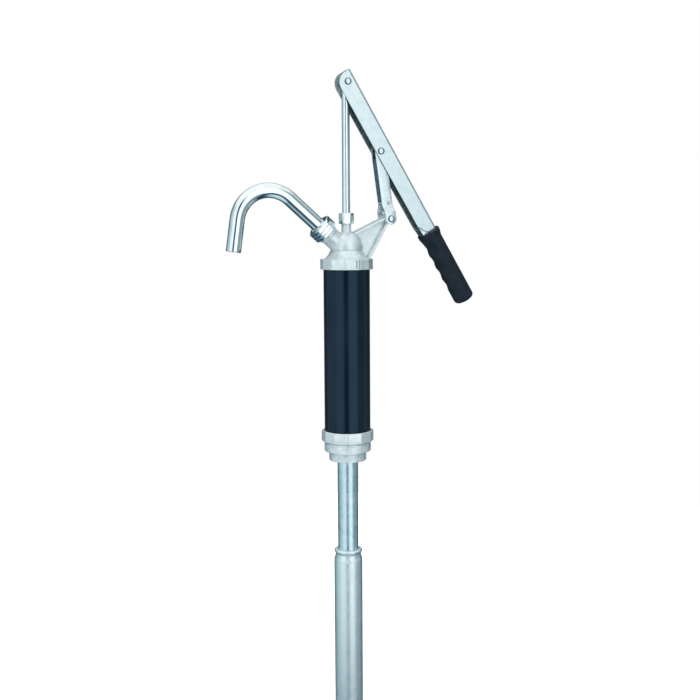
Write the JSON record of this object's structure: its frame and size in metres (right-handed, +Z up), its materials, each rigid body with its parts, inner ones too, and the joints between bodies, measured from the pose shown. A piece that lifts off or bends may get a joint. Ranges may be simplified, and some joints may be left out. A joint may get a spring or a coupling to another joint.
{
  "type": "drum barrel pump",
  "caption": "Lever-action drum pump with painted cylinder, cast head and bung adaptor, hooked swivel spout, linked lever with rubber grip, and telescoping suction pipe.",
  "frame": {"origin": "on the pump's axis at the shoulder under the bung adaptor's flange, the plane that comes down on the drum's bung", "axes": "+Z up along the pump cylinder, -X towards the spout, +X towards the lever, Y along the lever's pivots"},
  "size_m": [0.3422, 0.0682, 1.0419],
  "materials": {
    "cast_metal": "as-cast pale grey alloy, fine sand texture",
    "black_paint": "gloss blue-black enamel",
    "chrome_plate": "bright plated",
    "zinc_plate": "bright zinc-plated pressed steel",
    "black_rubber": "matt black moulded rubber",
    "seal_rubber": "black nitrile",
    "brass": "machined",
    "plain_steel": "machined"
  },
  "bodies": {
    "root": {"bung_adaptor": "cast_metal", "base_gasket": "seal_rubber", "cylinder_tube": "black_paint", "head_gasket": "seal_rubber", "pump_head": "cast_metal", "rod_guide_bush": "brass", "gland_packing": "seal_rubber", "gland_follower": "brass", "gland_nut": "chrome_plate", "foot_valve_cage": "plain_steel", "union_nut": "chrome_plate", "spout_gasket": "seal_rubber", "lug_rivet": "zinc_plate", "lug_bush": "brass", "suction_tube_upper": "zinc_plate", "telescope_stop_ring": "brass"},
    "rod": {"piston_rod": "chrome_plate", "piston_body": "plain_steel", "piston_cup": "seal_rubber", "cup_retainer": "plain_steel", "piston_valve_stop": "plain_steel", "piston_washer": "plain_steel", "piston_nut": "plain_steel"},
    "piston_valve": {"piston_valve_disc": "seal_rubber"},
    "foot_valve": {"foot_valve_disc": "seal_rubber"},
    "spout": {"spout_tube": "chrome_plate", "spout_ferrule": "chrome_plate"},
    "lever": {"handle_channel": "zinc_plate", "hand_grip": "black_rubber", "rod_pivot_rivet": "zinc_plate", "link_rivet_near": "zinc_plate", "link_rivet_far": "zinc_plate"},
    "link": {"link_arm": "zinc_plate"},
    "suction_lower": {"suction_tube_lower": "zinc_plate", "telescope_seal": "seal_rubber", "suction_foot": "seal_rubber"}
  },
  "joints": [
    {"name": "rod_slide", "type": "slide", "parent": "root", "child": "rod", "axis": [0, 0, -1], "range_m": [0, 0.0965]},
    {"name": "handle_swing", "type": "hinge", "parent": "rod", "child": "lever", "pos_m": [0, 0, 0.46], "axis": [0, -1, 0], "range_deg": [0, 65]},
    {"name": "link_swing", "type": "hinge", "parent": "root", "child": "link", "pos_m": [0.0575, 0, 0.2882], "axis": [0, 1, 0], "range_deg": [0, 36.5]},
    {"name": "spout_swivel", "type": "hinge", "parent": "root", "child": "spout", "pos_m": [0, 0, 0.247], "axis": [-0.7524, 0, 0.6587], "range_deg": [-90, 90]},
    {"name": "foot_valve_lift", "type": "slide", "parent": "root", "child": "foot_valve", "axis": [0, 0, 1], "range_m": [0, 0.006]},
    {"name": "piston_valve_lift", "type": "slide", "parent": "rod", "child": "piston_valve", "axis": [0, 0, 1], "range_m": [0, 0.005]},
    {"name": "suction_extend", "type": "slide", "parent": "root", "child": "suction_lower", "axis": [0, 0, -1], "range_m": [0, 0.33]}
  ],
  "couplings": [
    {"joint": "rod_slide", "follows": "handle_swing", "m_per_rad": 0.0847},
    {"joint": "link_swing", "follows": "handle_swing", "ratio": 0.557}
  ]
}
